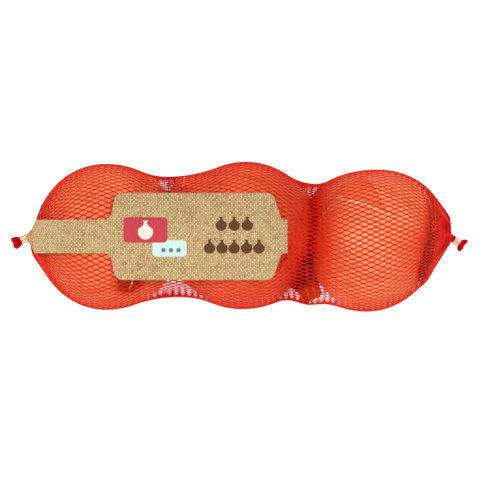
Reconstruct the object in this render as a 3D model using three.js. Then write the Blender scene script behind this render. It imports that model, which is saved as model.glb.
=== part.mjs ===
// A net pack of three large onions, lying on its back with the label up.
//
// A tube of knitted diamond netting holds the onions in a row. It is stretched round each of
// them, draws in between them, and is bunched and clipped at both ends. A printed label hangs
// on the left clip: a narrow strap comes up over the first onion and widens into a panel that
// lies across the first two.
//
// Millimetres. +X runs along the pack from the strapped end, +Y across it, +Z up. The origin is
// the middle of the flat spot on which the middle onion rests.
import * as THREE from "three";

// --- Onions ---------------------------------------------------------------------------------
// Each onion is given by its crown, the place along the pack where it is thickest, how far it
// lies off the middle line, its radius at the crown, and the reach to both sides along the pack
// of the round that the net takes over it. Its crown leans: it lies this much further along the
// pack on the +Y side, and as much less far on the -Y side.
const restDepth = 0.8; // how much of each onion's round is pressed flat by its weight
const onions = [
  { x: -77.3, y: -0.8, radius: 40.7, back: 39.4, ahead: 44.1, lean: 0 },
  { x: 0, y: 0, radius: 41.1, back: 41.8, ahead: 42.8, lean: 1.1 },
  { x: 71.2, y: -2.9, radius: 39.6, back: 46.8, ahead: 41, lean: 2.7 },
];

// --- Waists of the sleeve -------------------------------------------------------------------
// On the +Y side a waist is tighter by its pull, and lies further along the pack by its lean.
const waists = [
  { x: -39.7, radius: 33.5, pull: 0.4, lean: -2.5 },
  { x: 34.9, radius: 32.2, pull: 1.9, lean: 4.2 },
];

// --- Ends of the sleeve ---------------------------------------------------------------------
// Past its last onion the net runs straight in towards a puff, and the puff rounds off into the
// mouth, where the net is bunched. A clip follows close to the mouth, and then a flared tail.
const mouthRadius = 1.9;
const leftEnd = {
  mouth: new THREE.Vector3(-119.8, -0.4, 38),
  direction: new THREE.Vector3(-0.88, -0.42, -0.22).normalize(),
  puff: 3.3,
  puffLean: -4, // the puff is this much smaller on the +Y side
  rounding: 2,
  gap: 1.8,
  tail: { length: 5, across: 3.1, high: 2.3 },
};
const rightEnd = {
  mouth: new THREE.Vector3(116.2, -1.2, 35.5),
  direction: new THREE.Vector3(0.81, -0.57, -0.16).normalize(),
  puff: 5.6,
  puffLean: 3.7,
  rounding: 1.2,
  gap: 1.9,
  tail: { length: 3.1, across: 3.7, high: 2.1 },
};

// --- Netting --------------------------------------------------------------------------------
const cellsAround = 56; // facets round the sleeve, laid out as the cells of a coarser net
const cellSide = 5.27; // of one such cell
const pleats = 8; // folds round the sleeve where it is bunched
const pleatDepth = 0.12; // as a share of the radius
const pleatsFadeAt = 24; // the radius at which the folds have gone

// What lifts the net from inside, each on the -Y side: the middle onion's dry neck in the waist,
// and the edge of the last onion's root.
const bumps = [
  { x: 35.4, angle: Math.PI, height: 2.9, length: 8.7, spread: 0.4 },
  { x: 103, angle: Math.PI, height: 1.9, length: 3.4, spread: 0.4 },
];

// --- Clips and tails ------------------------------------------------------------------------
const clip = { length: 3.7, across: 2.3, high: 2.0, strip: 0.45, seam: 0.16 };
const bunch = { across: 1.45, high: 1.15 }; // the net's half-widths inside a clip
const tailRagged = 0.5;

// --- Label ----------------------------------------------------------------------------------
const label = {
  y: -0.6,
  thickness: 0.4,
  clearance: 0.3,
  curl: 44, // radius of its bend across the pack, flatter than the onions
  strapHalf: 9.35,
  panelHalf: 24.2,
  start: -118.4, // just short of the left mouth
  end: 23.9,
  bridgeSag: 0.8, // between the two crowns that carry the panel
  droop: 0.72, // how nearly its free end follows the onion below it
  pinchedHalf: 4.4, // where the strap is gathered towards the left clip
  pinchLengthUp: 8, // the +Y edge narrows over this length
  pinchLengthDown: 6, // and the -Y edge over this
  pinchShift: -0.9, // how far its middle is drawn to the -Y side there
  pinchFold: 0.7, // height of the folds there
  pinchFolds: 3,
  straightStep: 3.2, // between its rows of facets
  roundStep: 1.2, // and between those in its rounded corners
  columns: 8,
};
// The rounded corners of the label's outline, the same on both edges, with straight edges between
// them. A hollow one's middle is outside the label. Each is a quarter of a round that starts or
// stops level, at its middle's x.
const labelCorners = [
  { x: -77.6, y: 13.85, radius: 4.5, hollow: true, from: -77.6, to: -73.1 },
  { x: -66.8, y: 18.7, radius: 5.5, hollow: false, from: -72.3, to: -66.8 },
  { x: 11.8, y: 18.7, radius: 5.5, hollow: false, from: 11.8, to: 17.3 },
  { x: 21.9, y: 11.55, radius: 2.2, hollow: true, from: 19.7, to: 21.9 },
];

const up = new THREE.Vector3(0, 0, 1);

function smooth(from, to, value) {
  return THREE.MathUtils.smoothstep(value, from, to);
}

// --- The sleeve's form ----------------------------------------------------------------------

// The net's radius between a crown and a waist. It lies on the onion first, then leaves it along
// a hollow curve that is level at the waist.
function radiusTowardsWaist(x, onion, reach, waist) {
  const stretch = onion.radius / reach;
  const along = Math.abs(x - onion.x) * stretch;
  const end = Math.abs(waist.x - onion.x) * stretch;
  const drop = onion.radius - waist.radius;
  const hollow = (end ** 2 + waist.radius ** 2 - onion.radius ** 2) / (2 * drop);
  const leaves = (end * onion.radius) / (onion.radius + hollow);
  if (along < leaves) return Math.sqrt(onion.radius ** 2 - along ** 2);
  return waist.radius + hollow - Math.sqrt(hollow ** 2 - (end - along) ** 2);
}

// The net's radius between a crown and a mouth: on the onion first, then straight to the puff,
// then rounding off into the mouth. Side is 1 on the +Y side of the pack and -1 on the other.
function radiusTowardsMouth(x, onion, reach, end, side) {
  const stretch = onion.radius / reach;
  const along = Math.abs(x - onion.x) * stretch;
  const length = Math.abs(end.mouth.x - onion.x) * stretch;
  const puff = end.puff + end.puffLean * side;
  const leavesAt = Math.atan2(puff, length) + Math.acos(onion.radius / Math.hypot(length, puff));
  const leaves = onion.radius * Math.cos(leavesAt);
  const height = onion.radius * Math.sin(leavesAt);
  if (along < leaves) return Math.sqrt(onion.radius ** 2 - along ** 2);
  const radius = height + ((puff - height) * (along - leaves)) / (length - leaves);
  const toMouth = Math.min(1, Math.abs(end.mouth.x - x) / end.rounding);
  return mouthRadius + (radius - mouthRadius) * Math.sqrt(1 - (1 - toMouth) ** 2);
}

// The sleeve's radius at x, in the direction that is angle radians from +Y towards +Z.
function sleeveRadius(x, angle) {
  const side = Math.cos(angle);
  const [first, middle, last] = onions.map((o) => ({ ...o, x: o.x + o.lean * side }));
  const [waistA, waistB] = waists.map((w) => ({
    x: w.x + w.lean * side,
    radius: w.radius - w.pull * side,
  }));
  if (x < first.x) return radiusTowardsMouth(x, first, first.back, leftEnd, side);
  if (x < waistA.x) return radiusTowardsWaist(x, first, first.ahead, waistA);
  if (x < middle.x) return radiusTowardsWaist(x, middle, middle.back, waistA);
  if (x < waistB.x) return radiusTowardsWaist(x, middle, middle.ahead, waistB);
  if (x < last.x) return radiusTowardsWaist(x, last, last.back, waistB);
  return radiusTowardsMouth(x, last, last.ahead, rightEnd, side);
}

// The sleeve's middle line: through the onions' middles and the mouths, level at each of them.
const stops = [
  leftEnd.mouth,
  ...onions.map((o) => new THREE.Vector3(o.x, o.y, o.radius - restDepth)),
  rightEnd.mouth,
];
function middleLine(x) {
  const next = stops.findIndex((stop, i) => i > 0 && (x <= stop.x || i === stops.length - 1));
  const [a, b] = [stops[next - 1], stops[next]];
  const share = smooth(a.x, b.x, x);
  return new THREE.Vector3(x, a.y + (b.y - a.y) * share, a.z + (b.z - a.z) * share);
}

function bumpHeight(x, angle) {
  let height = 0;
  for (const bump of bumps) {
    const along = (x - bump.x) / bump.length;
    const turned = Math.atan2(Math.sin(angle - bump.angle), Math.cos(angle - bump.angle));
    height += bump.height * Math.exp(-(along ** 2) - (turned / bump.spread) ** 2);
  }
  return height;
}

function pleat(radius, angle) {
  const depth = pleatDepth * (1 - smooth(mouthRadius * 2, pleatsFadeAt, radius));
  return 1 + depth * Math.cos(pleats * angle);
}

function pleatedRadius(x, angle) {
  const radius = sleeveRadius(x, angle);
  return radius * pleat(radius, angle);
}

function sleevePoint(x, angle) {
  const radius = pleatedRadius(x, angle) + bumpHeight(x, angle);
  const point = middleLine(x);
  point.y += radius * Math.cos(angle);
  point.z = Math.max(0, point.z + radius * Math.sin(angle));
  return point;
}

// Where the net's rows of knots lie along the pack. A cell's side keeps its length, so the cells
// are short where the onions stretch the net open, and long where it is bunched.
function knotRows() {
  const [from, to] = [leftEnd.mouth.x, rightEnd.mouth.x];
  const rows = [from];
  const step = 0.02;
  let travelled = 0;
  let before = sleeveRadius(from, Math.PI / 2);
  for (let x = from + step; x < to; x += step) {
    const radius = sleeveRadius(x, Math.PI / 2);
    travelled += Math.hypot(step, radius - before);
    before = radius;
    const halfCell = (Math.PI * radius) / cellsAround;
    if (travelled < Math.sqrt(cellSide ** 2 - halfCell ** 2)) continue;
    rows.push(x);
    travelled = 0;
  }
  if (travelled < cellSide / 2) rows.pop();
  rows.push(to);
  return rows;
}

// --- The net with the onions in it ----------------------------------------------------------

// One ring of a tail: a pleated oval at a distance from the mouth, square to the tail. Forward is
// the tail's own direction or its opposite, whichever has the rings turn the way the sleeve does.
function tailRing(end, forward, distance, across, high, ragged) {
  const sideways = up.clone().cross(forward).normalize();
  const upwards = forward.clone().cross(sideways);
  return (angle) => {
    const fold = 1 + pleatDepth * Math.cos(pleats * angle);
    const reach = distance + ragged * Math.sin(3 * angle + 1);
    return end.mouth
      .clone()
      .addScaledVector(end.direction, reach)
      .addScaledVector(sideways, across * fold * Math.cos(angle))
      .addScaledVector(upwards, high * fold * Math.sin(angle));
  };
}

// The rings of a tail from the clip outwards: in at the mouth, through the clip, and flared.
function tailRings(end, forward) {
  const clipEnd = end.gap + clip.length;
  const { length, across, high } = end.tail;
  return [
    tailRing(end, forward, end.gap, bunch.across, bunch.high, 0),
    tailRing(end, forward, clipEnd, bunch.across, bunch.high, 0),
    tailRing(end, forward, clipEnd + length * 0.35, across * 0.8, high * 0.8, 0),
    tailRing(end, forward, clipEnd + length, across, high, tailRagged),
  ];
}

// A closed skin over rings of points, with every other ring turned by half a cell.
function skinOver(rings) {
  const positions = [];
  rings.forEach((ring, row) => {
    for (let cell = 0; cell < cellsAround; cell += 1)
      positions.push(...ring(((cell + (row % 2) / 2) * 2 * Math.PI) / cellsAround));
  });
  const at = (row, cell) => row * cellsAround + (cell % cellsAround);
  const faces = [];
  for (let row = 0; row < rings.length - 1; row += 1)
    for (let cell = 0; cell < cellsAround; cell += 1) {
      const next = cell + 1;
      if (row % 2 === 0)
        faces.push(at(row, cell), at(row, next), at(row + 1, cell),
          at(row, next), at(row + 1, next), at(row + 1, cell));
      else
        faces.push(at(row, cell), at(row, next), at(row + 1, next),
          at(row, cell), at(row + 1, next), at(row + 1, cell));
    }
  for (const row of [0, rings.length - 1]) {
    const middle = new THREE.Vector3();
    for (let cell = 0; cell < cellsAround; cell += 1)
      middle.add(new THREE.Vector3().fromArray(positions, at(row, cell) * 3));
    const hub = positions.length / 3;
    positions.push(...middle.divideScalar(cellsAround));
    for (let cell = 0; cell < cellsAround; cell += 1)
      if (row === 0) faces.push(hub, at(row, cell + 1), at(row, cell));
      else faces.push(hub, at(row, cell), at(row, cell + 1));
  }
  return geometryOf(positions, faces);
}

function geometryOf(positions, faces) {
  const geometry = new THREE.BufferGeometry();
  geometry.setAttribute("position", new THREE.Float32BufferAttribute(positions, 3));
  geometry.setIndex(faces);
  geometry.computeVertexNormals();
  return geometry;
}

function netSleeve() {
  const rings = [
    ...tailRings(leftEnd, leftEnd.direction.clone().negate()).reverse(),
    ...knotRows().map((x) => (angle) => sleevePoint(x, angle)),
    ...tailRings(rightEnd, rightEnd.direction),
  ];
  const material = new THREE.MeshStandardMaterial({ color: 0xe8503a, roughness: 0.55 });
  const mesh = new THREE.Mesh(skinOver(rings), material);
  mesh.name = "net_sleeve";
  return mesh;
}

// --- Clips ----------------------------------------------------------------------------------

// A flat strip of metal bent round the bunched net, its two ends nearly meeting underneath.
function endClip(name, { mouth, direction, gap }) {
  const opening = clip.seam / clip.high;
  const from = -Math.PI / 2 + opening;
  const to = (3 * Math.PI) / 2 - opening;
  const strip = new THREE.Shape();
  strip.absellipse(0, 0, clip.across, clip.high, from, to, false, 0);
  strip.absellipse(0, 0, clip.across - clip.strip, clip.high - clip.strip, to, from, true, 0);
  const geometry = new THREE.ExtrudeGeometry(strip, {
    depth: clip.length,
    bevelEnabled: false,
    curveSegments: 20,
  });
  const material = new THREE.MeshStandardMaterial({
    color: 0xf0bd98,
    roughness: 0.4,
    metalness: 0.5,
  });
  const mesh = new THREE.Mesh(geometry, material);
  mesh.name = name;
  mesh.position.copy(mouth).addScaledVector(direction, gap);
  const sideways = up.clone().cross(direction).normalize();
  const upwards = direction.clone().cross(sideways);
  mesh.setRotationFromMatrix(new THREE.Matrix4().makeBasis(sideways, upwards, direction));
  return mesh;
}

// --- Label ----------------------------------------------------------------------------------

// How far the label bends down from its middle line, at a distance across it.
function labelDrop(across) {
  return label.curl - Math.sqrt(label.curl ** 2 - across ** 2);
}

// The height of the label's middle line where it lies on the net, so that no part of its width
// dips into the net.
function restingHeight(x) {
  let height = 0;
  for (let angle = 0.1; angle < Math.PI; angle += 0.1) {
    const point = sleevePoint(x, angle);
    const across = point.y - label.y;
    if (Math.abs(across) < label.panelHalf) height = Math.max(height, point.z + labelDrop(across));
  }
  return height;
}

// The height of the label's middle line. The panel is too stiff to dip into the waist, and its
// free end only partly follows the onion down.
function labelHeight(x) {
  const [first, middle] = onions;
  const height = restingHeight(x);
  if (x <= first.x) return height;
  const crown = restingHeight(middle.x);
  if (x >= middle.x) return crown - label.droop * (crown - height);
  const share = (x - first.x) / (middle.x - first.x);
  const straight = THREE.MathUtils.lerp(restingHeight(first.x), crown, share);
  return straight - label.bridgeSag * Math.sin(Math.PI * share) ** 2;
}

// The label's middle line from the clip to its free end, each place on it with the direction
// square to the label there and its distance from the start. The rows of facets are closer
// together in the rounded corners.
function labelLine() {
  const fine = [];
  const step = 0.05;
  let travelled = 0;
  for (let x = label.start; x <= label.end; x += step) {
    const height = labelHeight(x);
    if (fine.length) travelled += Math.hypot(step, height - fine.at(-1).z);
    fine.push({ x, z: height, travelled });
  }
  const placeOf = (x) => fine.findIndex((f) => f.x >= x - step / 2);
  const rows = [];
  let from = 0;
  const addRows = (to, spacing) => {
    const length = fine[to].travelled - fine[from].travelled;
    const count = Math.max(1, Math.round(length / spacing));
    for (let row = 0; row < count; row += 1) {
      const wanted = fine[from].travelled + (length * row) / count;
      rows.push(fine.findIndex((f) => f.travelled >= wanted - 1e-6));
    }
    from = to;
  };
  for (const corner of labelCorners) {
    addRows(placeOf(corner.from), label.straightStep);
    addRows(placeOf(corner.to), label.roundStep);
  }
  addRows(fine.length - 1, label.straightStep);
  rows.push(fine.length - 1);
  return rows.map((row) => {
    const [a, b] = [fine[Math.max(0, row - 4)], fine[Math.min(fine.length - 1, row + 4)]];
    const slope = Math.hypot(b.x - a.x, b.z - a.z);
    return { ...fine[row], outwards: new THREE.Vector3(-(b.z - a.z) / slope, 0, (b.x - a.x) / slope) };
  });
}

// The height of a corner's round above the label's middle line.
function cornerHalf({ x: middle, y, radius, hollow }, x) {
  const rise = Math.sqrt(Math.max(0, radius ** 2 - (x - middle) ** 2));
  return hollow ? y - rise : y + rise;
}

// Half the width of the label's outline.
function outlineHalf(x) {
  let before = { x: label.start, half: label.strapHalf };
  for (const corner of labelCorners) {
    const first = { x: corner.from, half: cornerHalf(corner, corner.from) };
    if (x < first.x)
      return THREE.MathUtils.mapLinear(x, before.x, first.x, before.half, first.half);
    if (x <= corner.to) return cornerHalf(corner, x);
    before = { x: corner.to, half: cornerHalf(corner, corner.to) };
  }
  return before.half;
}

// Half the label's width on one side: +1 for the +Y edge and -1 for the other.
function labelHalf(x, travelled, side) {
  const pinchLength = side > 0 ? label.pinchLengthUp : label.pinchLengthDown;
  const open = smooth(0, pinchLength, travelled);
  return label.pinchedHalf + (outlineHalf(x) - label.pinchedHalf) * open;
}

function printedLabel() {
  const columns = label.columns;
  const layers = [label.clearance, label.clearance + label.thickness];
  const positions = [];
  const line = labelLine();
  for (const height of layers)
    for (const { x, z, travelled, outwards } of line)
      for (let column = 0; column <= columns; column += 1) {
        const share = (2 * column) / columns - 1;
        const across = share * labelHalf(x, travelled, Math.sign(share));
        const gathered = 1 - smooth(0, label.pinchLengthUp, travelled);
        const fold = label.pinchFold * gathered * Math.sin(label.pinchFolds * Math.PI * share) ** 2;
        const y = label.y + label.pinchShift * gathered + across;
        const point = new THREE.Vector3(x, y, z - labelDrop(across));
        positions.push(...point.addScaledVector(outwards, height + fold));
      }
  const rowLength = columns + 1;
  const layerLength = line.length * rowLength;
  const at = (layer, row, column) => layer * layerLength + row * rowLength + column;
  const faces = [];
  const quad = (a, b, c, d) => faces.push(a, b, c, a, c, d);
  for (let row = 0; row < line.length - 1; row += 1) {
    for (let column = 0; column < columns; column += 1) {
      quad(at(1, row, column), at(1, row + 1, column), at(1, row + 1, column + 1), at(1, row, column + 1));
      quad(at(0, row, column), at(0, row, column + 1), at(0, row + 1, column + 1), at(0, row + 1, column));
    }
    quad(at(0, row, 0), at(0, row + 1, 0), at(1, row + 1, 0), at(1, row, 0));
    quad(at(0, row, columns), at(1, row, columns), at(1, row + 1, columns), at(0, row + 1, columns));
  }
  const last = line.length - 1;
  for (let column = 0; column < columns; column += 1) {
    quad(at(0, 0, column), at(1, 0, column), at(1, 0, column + 1), at(0, 0, column + 1));
    quad(at(0, last, column), at(0, last, column + 1), at(1, last, column + 1), at(1, last, column));
  }
  const material = new THREE.MeshStandardMaterial({ color: 0xc7a879, roughness: 0.85 });
  const mesh = new THREE.Mesh(geometryOf(positions, faces), material);
  mesh.name = "label";
  return mesh;
}

const pack = new THREE.Group();
pack.add(
  netSleeve(),
  printedLabel(),
  endClip("clip_left", leftEnd),
  endClip("clip_right", rightEnd),
);

export default pack;
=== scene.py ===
"""A net pack of three large onions with a printed label, lying on its back, seen from above.

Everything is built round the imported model, in its frame: +X along the pack from the strapped
end, +Y across it, +Z up, with the origin under the middle onion. Sizes are in millimetres and
become metres where each mesh is made.
"""
import math

import bpy
import numpy as np
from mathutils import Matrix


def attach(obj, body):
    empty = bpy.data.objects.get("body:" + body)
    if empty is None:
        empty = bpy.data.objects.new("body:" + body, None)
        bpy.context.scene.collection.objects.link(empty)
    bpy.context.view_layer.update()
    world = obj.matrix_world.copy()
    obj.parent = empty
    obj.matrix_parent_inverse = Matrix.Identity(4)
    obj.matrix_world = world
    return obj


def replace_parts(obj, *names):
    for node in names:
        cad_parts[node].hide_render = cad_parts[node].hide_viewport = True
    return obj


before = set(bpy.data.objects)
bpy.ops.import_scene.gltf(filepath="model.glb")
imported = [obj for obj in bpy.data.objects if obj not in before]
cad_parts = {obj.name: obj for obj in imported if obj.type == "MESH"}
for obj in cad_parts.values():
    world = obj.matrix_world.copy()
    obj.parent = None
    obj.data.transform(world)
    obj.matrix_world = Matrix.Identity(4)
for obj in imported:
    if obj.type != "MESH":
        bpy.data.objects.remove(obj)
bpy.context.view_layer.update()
MM = 0.001


# --- Camera -----------------------------------------------------------------------------------
# Straight above the pack through a long lens, so that its ends aren't seen from the side. The
# photograph's frame takes in 270.5 mm at the height of the onions' middles.
VIEW_WIDTH = 270.5
VIEW_CENTRE = (-1.4, -3.4)
VIEW_LEVEL = 40
CAMERA_HEIGHT = 3200

lens = bpy.data.cameras.new("camera")
lens.sensor_width = 36
lens.lens = lens.sensor_width * (CAMERA_HEIGHT - VIEW_LEVEL) / VIEW_WIDTH
lens.clip_start = 0.1
lens.clip_end = 20
camera = bpy.data.objects.new("camera", lens)
camera.location = (VIEW_CENTRE[0] * MM, VIEW_CENTRE[1] * MM, CAMERA_HEIGHT * MM)
bpy.context.scene.collection.objects.link(camera)
bpy.context.scene.camera = camera
bpy.context.scene.view_settings.view_transform = "Standard"
bpy.context.scene.view_settings.look = "None"


# --- Studio: a white table and soft lights ------------------------------------------------------
# The table is a lit white sheet, as under a cut-out pack shot, so the net is bright from below
# as well. Two large soft boxes and a weaker one from the foot of the frame do the rest.
def colour(red, green, blue):
    """A colour given on the 0 to 255 scale of a screen, as the linear light it stands for."""
    def linear(level):
        level /= 255
        return level / 12.92 if level <= 0.04045 else ((level + 0.055) / 1.055) ** 2.4
    return (linear(red), linear(green), linear(blue), 1)


def new_material(name, **constants):
    """A material with its node tree and its main shader, whose constant sockets are set by name."""
    material = bpy.data.materials.new(name)
    material.use_nodes = True
    shader = material.node_tree.nodes["Principled BSDF"]
    for socket, value in constants.items():
        shader.inputs[socket.replace("_", " ")].default_value = value
    return material, material.node_tree, shader


TABLE_SIZE = 4000
TABLE_GLOW = 0.55
ROOM_GLOW = 0.45
SOFT_BOX_SIZE = 0.9  # metres

table_material, _, table_shader = new_material("table_white", Roughness=0.8)
table_shader.inputs["Base Color"].default_value = (0.86, 0.86, 0.86, 1)
table_shader.inputs["Emission Color"].default_value = (1, 1, 1, 1)
table_shader.inputs["Emission Strength"].default_value = TABLE_GLOW

half = TABLE_SIZE / 2 * MM
table_mesh = bpy.data.meshes.new("table")
table_corners = [(-half, -half, 0), (half, -half, 0), (half, half, 0), (-half, half, 0)]
table_mesh.from_pydata(table_corners, [], [(0, 1, 2, 3)])
table_mesh.materials.append(table_material)
table = bpy.data.objects.new("table", table_mesh)
bpy.context.scene.collection.objects.link(table)


def soft_box(name, place, power):
    """A square soft light at a place in metres, turned to face the pack."""
    light = bpy.data.lights.new(name, "AREA")
    light.shape = "SQUARE"
    light.size = SOFT_BOX_SIZE
    light.energy = power
    box = bpy.data.objects.new(name, light)
    box.location = place
    away = np.array(place) - np.array((0, 0, 0.04))
    away /= np.linalg.norm(away)
    box.rotation_euler = (math.acos(away[2]), 0, math.atan2(away[1], away[0]) + math.pi / 2)
    bpy.context.scene.collection.objects.link(box)


soft_box("soft_box_left", (-0.9, 0.25, 1.0), 9.5)
soft_box("soft_box_right", (0.95, 0.3, 0.9), 8.5)
soft_box("soft_box_foot", (0.0, -1.0, 0.75), 6)

world = bpy.data.worlds.new("studio")
world.use_nodes = True
world.node_tree.nodes["Background"].inputs["Color"].default_value = (1, 1, 1, 1)
world.node_tree.nodes["Background"].inputs["Strength"].default_value = ROOM_GLOW
bpy.context.scene.world = world


# --- The form that the net takes ----------------------------------------------------------------
# The tube of netting is stretched round the three onions, draws in between them, and runs in at
# both ends to a mouth, where it is bunched. Everything below lies on this form or inside it.
REST_DEPTH = 0.8
CROWNS = [
    dict(x=-77.3, y=-0.8, radius=40.7, back=39.4, ahead=44.1, lean=0),
    dict(x=0, y=0, radius=41.1, back=41.8, ahead=42.8, lean=1.1),
    dict(x=71.2, y=-2.9, radius=39.6, back=46.8, ahead=41, lean=2.7),
]
WAISTS = [
    dict(x=-39.7, radius=33.5, pull=0.4, lean=-2.5),
    dict(x=34.9, radius=32.2, pull=1.9, lean=4.2),
]
MOUTH_RADIUS = 1.9
LEFT_END = dict(mouth=(-119.8, -0.4, 38), direction=(-0.88, -0.42, -0.22), puff=3.3, puff_lean=-4,
                rounding=2, gap=1.8, tail=dict(length=5, across=3.1, high=2.3))
RIGHT_END = dict(mouth=(116.2, -1.2, 35.5), direction=(0.81, -0.57, -0.16), puff=5.6, puff_lean=3.7,
                 rounding=1.2, gap=1.9, tail=dict(length=3.1, across=3.7, high=2.1))
PLEATS = 8
PLEAT_DEPTH = 0.12
PLEATS_FADE_AT = 24
BUMPS = [
    dict(x=35.4, angle=math.pi, height=2.9, length=8.7, spread=0.4),
    dict(x=103, angle=math.pi, height=1.9, length=3.4, spread=0.4),
]


def smooth(low, high, value):
    share = np.clip((value - low) / (high - low), 0, 1)
    return share * share * (3 - 2 * share)


def towards_waist(x, crown, radius, reach, waist, waist_radius):
    """The net's radius from a crown to a waist: on the onion, then a hollow curve off it."""
    stretch = radius / reach
    along = np.abs(x - crown) * stretch
    end = np.abs(waist - crown) * stretch
    hollow = (end**2 + waist_radius**2 - radius**2) / (2 * (radius - waist_radius))
    leaves = end * radius / (radius + hollow)
    on_onion = np.sqrt(np.maximum(radius**2 - along**2, 0))
    off_onion = waist_radius + hollow - np.sqrt(np.maximum(hollow**2 - (end - along) ** 2, 0))
    return np.where(along < leaves, on_onion, off_onion)


def towards_mouth(x, crown, radius, reach, end, side):
    """The net's radius from a crown to a mouth: on the onion, straight to a puff, and rounded in."""
    stretch = radius / reach
    along = np.abs(x - crown) * stretch
    length = np.abs(end["mouth"][0] - crown) * stretch
    puff = end["puff"] + end["puff_lean"] * side
    leaves_at = np.arctan2(puff, length) + np.arccos(radius / np.hypot(length, puff))
    leaves, height = radius * np.cos(leaves_at), radius * np.sin(leaves_at)
    straight = height + (puff - height) * (along - leaves) / (length - leaves)
    to_mouth = np.clip(np.abs(end["mouth"][0] - x) / end["rounding"], 0, 1)
    off_onion = MOUTH_RADIUS + (straight - MOUTH_RADIUS) * np.sqrt(1 - (1 - to_mouth) ** 2)
    return np.where(along < leaves, np.sqrt(np.maximum(radius**2 - along**2, 0)), off_onion)


def sleeve_radius(x, angle):
    """The sleeve's radius at x, in the direction that is angle radians from +Y towards +Z."""
    side = np.cos(angle)
    first, middle, last = [c["x"] + c["lean"] * side for c in CROWNS]
    waist_a, waist_b = [w["x"] + w["lean"] * side for w in WAISTS]
    narrow_a, narrow_b = [w["radius"] - w["pull"] * side for w in WAISTS]
    radii = [c["radius"] for c in CROWNS]
    stretches = [
        (x < first, towards_mouth(x, first, radii[0], CROWNS[0]["back"], LEFT_END, side)),
        (x < waist_a, towards_waist(x, first, radii[0], CROWNS[0]["ahead"], waist_a, narrow_a)),
        (x < middle, towards_waist(x, middle, radii[1], CROWNS[1]["back"], waist_a, narrow_a)),
        (x < waist_b, towards_waist(x, middle, radii[1], CROWNS[1]["ahead"], waist_b, narrow_b)),
        (x < last, towards_waist(x, last, radii[2], CROWNS[2]["back"], waist_b, narrow_b)),
    ]
    beyond = towards_mouth(x, last, radii[2], CROWNS[2]["ahead"], RIGHT_END, side)
    return np.select([where for where, _ in stretches], [radius for _, radius in stretches], beyond)


def middle_line(x):
    """The sleeve's middle line at x: level at each onion's middle and at both mouths."""
    stops = [LEFT_END["mouth"]]
    stops += [(c["x"], c["y"], c["radius"] - REST_DEPTH) for c in CROWNS]
    stops += [RIGHT_END["mouth"]]
    y = np.full(np.shape(x), stops[0][1], float)
    z = np.full(np.shape(x), stops[0][2], float)
    for before, after in zip(stops, stops[1:]):
        share = smooth(before[0], after[0], x)
        y += (after[1] - before[1]) * share
        z += (after[2] - before[2]) * share
    return y, z


def bump_height(x, angle):
    height = 0
    for bump in BUMPS:
        turned = np.arctan2(np.sin(angle - bump["angle"]), np.cos(angle - bump["angle"]))
        shape = -(((x - bump["x"]) / bump["length"]) ** 2) - (turned / bump["spread"]) ** 2
        height = height + bump["height"] * np.exp(shape)
    return height


def net_radius(x, angle):
    """The sleeve's radius with its bumps, before it is pleated."""
    return sleeve_radius(x, angle) + bump_height(x, angle)


def sleeve_point(x, angle, lift=0.0):
    """A point on the sleeve, or lifted off it, with the folds of its bunched ends."""
    radius = sleeve_radius(x, angle)
    pleat = PLEAT_DEPTH * (1 - smooth(MOUTH_RADIUS * 2, PLEATS_FADE_AT, radius))
    radius = radius * (1 + pleat * np.cos(PLEATS * angle)) + bump_height(x, angle) + lift
    y, z = middle_line(x)
    height = np.maximum(z + radius * np.sin(angle), 0.25 + lift)
    return np.stack(np.broadcast_arrays(x, y + radius * np.cos(angle), height), axis=-1)


# --- Onions -------------------------------------------------------------------------------------
# Three large mild onions with dry, papery, golden-orange skins. Each has its own lean and
# proportions, a dry neck at one pole and a root at the other, and is pressed into the net.
ONIONS = {
    "onion_left": dict(
        middle=(-77.3, -0.8, 39.9), radius=41.2, ahead=41, back=38, long=(1, 0, 0),
        neck=(0.33, -0.64, 0.69), seed=3, bulges=[], roots=(240, 7.5)),
    "onion_middle": dict(
        middle=(0, 0, 40.3), radius=41, ahead=38.4, back=50, long=(0.86, -0.51, 0),
        neck=(0.86, -0.51, -0.02), seed=11, bulges=[((0.9, 0.42, 0), 3, 0.14)], roots=(24, 2.4)),
    "onion_right": dict(
        middle=(73, -2.8, 38.8), radius=41, ahead=32, back=37.7, long=(0.95, -0.3, 0.08),
        neck=(-0.95, 0.3, -0.08), seed=23, roots=(620, 15),
        bulges=[((-0.76, 0.65, 0), 4.5, 0.5), ((-0.72, -0.69, 0), -2.6, 0.3)]),
}
FULLNESS = 2.25     # 2 is an ellipsoid, and more is squarer in the shoulder
TOP_FULLNESS = 1.8  # the same, as seen from the side of the pack
# Where neighbouring onions touch: the place along the pack, and how far it slants across it.
PARTINGS = [dict(x=-42.5, slant=0.045), dict(x=38.2, slant=0.04)]
PARTING_EASING = 0.8
NET_GAP = 0.45  # from an onion's skin to the middle of the strands over it
SKIN_WAVES = ((2, 0.3), (3, 0.3), (5, 0.18), (9, 0.1), (23, 0.07), (37, 0.06))  # count round it, height
SKIN_SUNK = 0.3  # the skin without its waves
NECK_RISE = dict(height=1.4, width=0.26)
ROOT_DIMPLE = dict(depth=1.1, width=0.2)
ROUND_STEPS = 240
DOWN_STEPS = 130


def unit(vector):
    """A vector, or each of many, made one long."""
    vector = np.asarray(vector, float)
    return vector / np.maximum(np.linalg.norm(vector, axis=-1, keepdims=True), 1e-6)


def onion_axes(onion):
    """The onion's own axis towards its neck, and two directions square to it."""
    neck = unit(onion["neck"])
    side = unit(np.cross(neck, (0.2, 0.1, 1)))
    return neck, side, np.cross(neck, side)


def soft_limit(value, limit, softness=0.5):
    """Value where it is well under limit, and eased to stay under it."""
    return limit - softness * np.logaddexp(0, (limit - value) / softness)


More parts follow.
